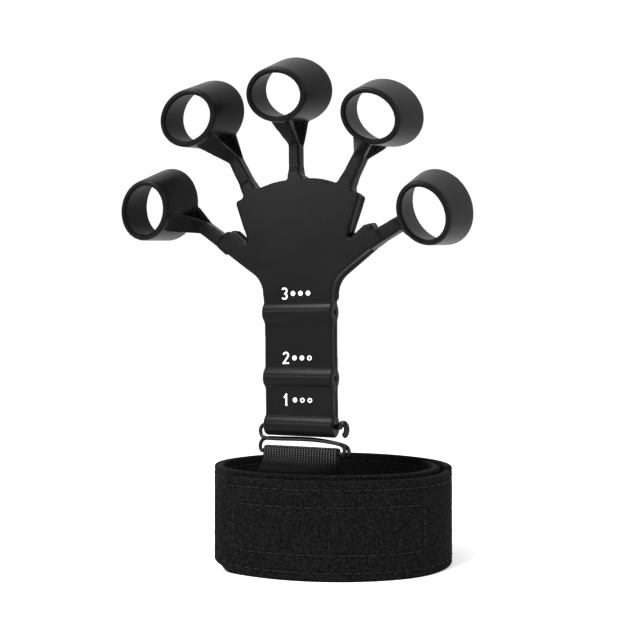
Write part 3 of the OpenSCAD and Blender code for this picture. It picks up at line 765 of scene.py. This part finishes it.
# ---------- Silicone web ----------
# The whole moulding is one skin over the CAD's shapes, with soft edges, and is then cut into
# the palm, five arm roots and five loops with their arms.

LOOP_L, LOOP_WALL = 22 * MM, 2.2 * MM
LOOP_FRONT, LOOP_BACK = np.array([9.9, 12]) * MM, np.array([12.6, 15.3]) * MM
# Each loop's turn in the plane of the web, its tilt, its swing, in degrees, and its scale
LOOP_TURNS = {"thumb": (150, 12.5, 3.5, 1.05), "index": (117, 14.5, 4, 1.06), "middle": (86, 17, 1.5, 1.02),
              "ring": (60, 14.5, 0.5, 0.99), "little": (25, 12.5, -1.5, 0.98)}
# Along each arm from its hinge: where its root and its loop's piece start
ROOT_CUT, ARM_CUT = -1.2 * MM, 6.5 * MM
# How far from its middle a cut reaches, and how far from a finger's leg the faces of its root
# and of its loop can be
CUT_REACH, ROOT_REACH, LOOP_REACH = 9 * MM, 8 * MM, 21 * MM
# The block in each hinge gap: along the arm from and to, and half its thickness
BLOCK_FROM, BLOCK_TO, BLOCK_HALF_T = -4.6 * MM, 0.2 * MM, 3.2 * MM
VOXEL = 0.45 * MM

web_up = unit(mount_at("tunnel_3_bore") - mount_at("tunnel_2_bore"))
web_front = np.cross((1, 0, 0), web_up)
web_lean = math.atan2(-web_up[1], web_up[2])


def rotation(axis, angle):
    c, s = math.cos(angle), math.sin(angle)
    return {"x": np.array([[1, 0, 0], [0, c, -s], [0, s, c]]),
            "y": np.array([[c, 0, s], [0, 1, 0], [-s, 0, c]]),
            "z": np.array([[c, -s, 0], [s, c, 0], [0, 0, 1]])}[axis]


class Finger:
    """Where one arm and its loop are: the root and its axes, and the loop's middle and axes."""

    def __init__(self, name):
        self.name = name
        self.root = joint_at(name + "_flex")
        self.side = unit(JOINTS[name + "_flex"]["axis"])
        self.out = np.cross(web_front, self.side)
        self.middle = mount_at(name + "_loop_hole")
        self.stretch = unit(JOINTS[name + "_stretch"]["axis"])
        roll, tilt, yaw, self.scale = LOOP_TURNS[name]
        roll, tilt, yaw = (math.radians(a) for a in (roll, tilt, yaw))
        self.axes = rotation("x", web_lean) @ rotation("z", yaw) @ rotation("x", tilt) @ rotation("y", -roll)

    def from_loop(self, points):
        return self.middle + (points * self.scale) @ self.axes.T

    def to_loop(self, points):
        return (points - self.middle) @ self.axes / self.scale


def loop_reach(y):
    """The two half widths of a loop's outside at places along it."""
    return LOOP_FRONT + (LOOP_BACK - LOOP_FRONT) * (y[:, None] / LOOP_L + 0.5)


def loop_mesh(finger, sides=120):
    """The tube of a loop with round lips, wider at the back."""
    lip = LOOP_WALL / 2
    half = LOOP_L / 2 - lip
    front, back = np.linspace(0.5, 1.5, 9) * np.pi, np.linspace(1.5, 2.5, 9) * np.pi
    profile = [(-half + lip * math.cos(a), -lip + lip * math.sin(a)) for a in front]
    profile += [(half + lip * math.cos(a), -lip + lip * math.sin(a)) for a in back]
    profile = np.array(profile)
    reach = loop_reach(profile[:, 0]) + profile[:, 1:]
    turn = np.linspace(0, 2 * np.pi, sides, endpoint=False)[:, None]
    rings = np.stack([reach[:, 0] * np.cos(turn), np.broadcast_to(profile[:, 0], (sides, len(profile))),
                      reach[:, 1] * np.sin(turn)], -1)
    n = len(profile)
    faces = [(k * n + i, k * n + (i + 1) % n, (k + 1) % sides * n + (i + 1) % n, (k + 1) % sides * n + i)
             for k in range(sides) for i in range(n)]
    return finger.from_loop(rings.reshape(-1, 3)), faces


def node_mesh(node):
    """A CAD node's points and faces."""
    mesh = frame["nodes"][node].data
    points = np.zeros(len(mesh.vertices) * 3)
    mesh.vertices.foreach_get("co", points)
    return points.reshape(-1, 3), [tuple(p.vertices) for p in mesh.polygons]


def arm_mesh(finger):
    """The CAD's arm, with its end pushed into the wall of its loop."""
    points, faces = node_mesh(finger.name + "_arm")
    local = finger.to_loop(points)
    reach = loop_reach(local[:, 1])
    near = np.hypot(local[:, 0] / reach[:, 0], local[:, 2] / reach[:, 1]) < 1.06
    local[near] *= (0.9, 1, 0.9)
    return finger.from_loop(local), faces


def root_block(finger):
    """A block that fills the hinge gap between the palm and the arm."""
    arm, _ = node_mesh(finger.name + "_arm")
    local = arm - finger.root
    at_root = np.abs(local @ finger.out) < 3.3 * MM
    half = np.abs(local[at_root] @ finger.side).max()
    corners = []
    for x, grow in ((BLOCK_FROM, 0.5 * MM), (BLOCK_TO, 0.1 * MM)):
        for y in (-BLOCK_HALF_T, BLOCK_HALF_T):
            for z in (-half - grow, half + grow):
                corners.append(finger.root + x * finger.out + y * web_front + z * finger.side)
    faces = [(0, 1, 3, 2), (4, 6, 7, 5), (0, 4, 5, 1), (2, 3, 7, 6), (0, 2, 6, 4), (1, 5, 7, 3)]
    return np.array(corners), faces


def web_skin(fingers):
    """One smooth skin over the whole moulding, as a bmesh."""
    shapes = [node_mesh("palm_web"), node_mesh("neck_web")]
    for finger in fingers:
        shapes += [loop_mesh(finger), arm_mesh(finger), root_block(finger)]
    parts = [add_mesh(f"part_{i}", points, faces, SILICONE) for i, (points, faces) in enumerate(shapes)]
    for part in parts:
        bm = bmesh.new()
        bm.from_mesh(part.data)
        bmesh.ops.remove_doubles(bm, verts=bm.verts, dist=0.002 * MM)
        bmesh.ops.recalc_face_normals(bm, faces=bm.faces)
        bm.to_mesh(part.data)
        bm.free()
    with bpy.context.temp_override(active_object=parts[0], selected_editable_objects=parts):
        bpy.ops.object.join()
    whole = parts[0]
    remesh = whole.modifiers.new("skin", "REMESH")
    remesh.mode = "VOXEL"
    remesh.voxel_size = VOXEL
    soften = whole.modifiers.new("soften", "SMOOTH")
    soften.factor, soften.iterations = 0.5, 6
    thin = whole.modifiers.new("thin", "DECIMATE")
    thin.ratio = 0.32
    result = bpy.data.meshes.new_from_object(whole.evaluated_get(bpy.context.evaluated_depsgraph_get()))
    bm = bmesh.new()
    bm.from_mesh(result)
    bpy.data.objects.remove(whole)
    bpy.data.meshes.remove(result)
    return bm


def cut_across(bm, at, normal):
    """Cuts the faces near a point along a plane."""
    at = Vector(at)
    faces = [f for f in bm.faces if (f.calc_center_median() - at).length < CUT_REACH]
    geometry = set(faces)
    for f in faces:
        geometry.update(f.verts)
        geometry.update(f.edges)
    bmesh.ops.bisect_plane(bm, geom=list(geometry), dist=1e-7, plane_co=at, plane_no=Vector(normal))


def region_names(centres, fingers):
    """Which piece each face belongs to."""
    distances, locals_x = [], []
    for finger in fingers:
        leg = finger.middle - finger.root
        t = np.clip((centres - finger.root) @ leg / (leg @ leg), 0, 1)
        distances.append(np.linalg.norm(centres - finger.root - t[:, None] * leg, axis=1))
        locals_x.append((centres - finger.root) @ finger.out)
    nearest = np.argmin(distances, 0)
    rows = np.arange(len(centres))
    away, x = np.array(distances)[nearest, rows], np.array(locals_x)[nearest, rows]
    names = np.full(len(centres), "palm", dtype=object)
    for i, finger in enumerate(fingers):
        mine = nearest == i
        names[mine & (x > ROOT_CUT) & (away < ROOT_REACH)] = finger.name + "_root"
        names[mine & (x > ARM_CUT) & (away < LOOP_REACH)] = finger.name + "_loop"
    return names


def piece_of(faces, name):
    """A closed piece of the skin that keeps the whole skin's normals across its cuts."""
    verts = {v: i for i, v in enumerate({v: None for f in faces for v in f.verts})}
    mesh = bpy.data.meshes.new(name)
    mesh.from_pydata([v.co for v in verts], [], [[verts[v] for v in f.verts] for f in faces])
    normals = np.array([v.normal for v in verts])
    part = bmesh.new()
    part.from_mesh(mesh)
    open_edges = [e for e in part.edges if e.is_boundary]
    bmesh.ops.holes_fill(part, edges=open_edges, sides=0)
    part.to_mesh(mesh)
    part.free()
    mesh.polygons.foreach_set("use_smooth", [True] * len(mesh.polygons))
    corner_normals = []
    for p in mesh.polygons:
        for v in p.vertices:
            corner_normals.append(normals[v] if p.index < len(faces) else p.normal)
    mesh.normals_split_custom_set([tuple(n) for n in corner_normals])
    mesh.materials.append(SILICONE)
    obj = bpy.data.objects.new(name, mesh)
    bpy.context.scene.collection.objects.link(obj)
    return obj


def shade_the_bore(obj, finger):
    """Gives the faces inside a loop the silicone with weaker reflections, painted shade inside the loops."""
    mesh = obj.data
    mesh.materials.append(SHADED_BORE_SILICONE)
    centres = finger.to_loop(np.array([p.center for p in mesh.polygons]))
    reach = loop_reach(centres[:, 1]) - 0.6 * LOOP_WALL
    inside = np.hypot(centres[:, 0] / reach[:, 0], centres[:, 2] / reach[:, 1]) < 1
    mesh.polygons.foreach_set("material_index", inside.astype(np.int32))


def build_web():
    fingers = [Finger(name) for name in FINGERS]
    bm = web_skin(fingers)
    for finger in fingers:
        for cut in (ROOT_CUT, ARM_CUT):
            cut_across(bm, finger.root + cut * finger.out, finger.out)
    bm.normal_update()
    names = region_names(np.array([f.calc_center_median() for f in bm.faces]), fingers)
    groups = {}
    for face, name in zip(bm.faces, names):
        groups.setdefault(name, []).append(face)
    palm = piece_of(groups["palm"], "palm_and_neck")
    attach(palm, "web")
    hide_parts("palm_web", "neck_web")
    for finger in fingers:
        name = finger.name
        root = piece_of(groups[name + "_root"], name + "_arm_root")
        loop = piece_of(groups[name + "_loop"], name + "_arm_and_loop")
        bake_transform(root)
        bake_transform(loop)
        shade_the_bore(loop, finger)
        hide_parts(name + "_arm")
        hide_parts(name + "_loop")
    bm.free()


def dress_marks():
    for level in (1, 2, 3):
        mark = frame["nodes"][f"level_mark_{level}"]
        mark.data.materials.clear()
        mark.data.materials.append(INK)


# ---------- Floor, light and camera ----------


def build_stage():
    """A floor and an even white surrounding so wide that no edge of the floor shows."""
    half = 12.0
    corners = [(-half, -half, 0), (half, -half, 0), (half, half, 0), (-half, half, 0)]
    floor = add_mesh("floor", corners, [(0, 1, 2, 3)], floor_material())
    world = bpy.data.worlds.new("studio")
    world.use_nodes = True
    world.node_tree.nodes["Background"].inputs["Color"].default_value = (1, 1, 1, 1)
    world.node_tree.nodes["Background"].inputs["Strength"].default_value = 1.08
    bpy.context.scene.world = world
    bpy.context.scene.view_settings.view_transform = "Standard"


def softbox(name, at, target, size, watts):
    light = bpy.data.lights.new(name, "AREA")
    light.shape = "RECTANGLE"
    light.size, light.size_y = size
    light.energy = watts
    obj = bpy.data.objects.new(name, light)
    obj.location = at
    obj.rotation_euler = (Vector(target) - Vector(at)).to_track_quat("-Z", "Y").to_euler()
    bpy.context.scene.collection.objects.link(obj)


def build_lights():
    target = (0, 0, 0.11)
    softbox("top", (-0.15, -0.3, 0.62), target, (0.3, 0.22), 7)
    softbox("front", (-0.33, -0.72, 0.33), target, (0.3, 0.12), 2.6)
    softbox("right", (0.75, -0.1, 0.35), target, (0.12, 0.5), 3.2)


def build_camera():
    """At the height of the neck, a little to the right, with its view raised by a small shift."""
    data = bpy.data.cameras.new("camera")
    data.lens, data.sensor_width = 52.03, 36
    data.shift_y = 0.034
    data.clip_start, data.clip_end = 0.01, 20
    camera = bpy.data.objects.new("camera", data)
    camera.location = (0.16278, -0.35866, 0.093)
    camera.rotation_euler = Vector((-0.4131, 0.9107, 0)).to_track_quat("-Z", "Y").to_euler()
    bpy.context.scene.collection.objects.link(camera)
    bpy.context.scene.camera = camera


build_stage()
build_lights()
build_camera()
build_strap()
build_flap()
build_webbing()
build_webbing_seams()
build_buckle()
build_web()
dress_marks()
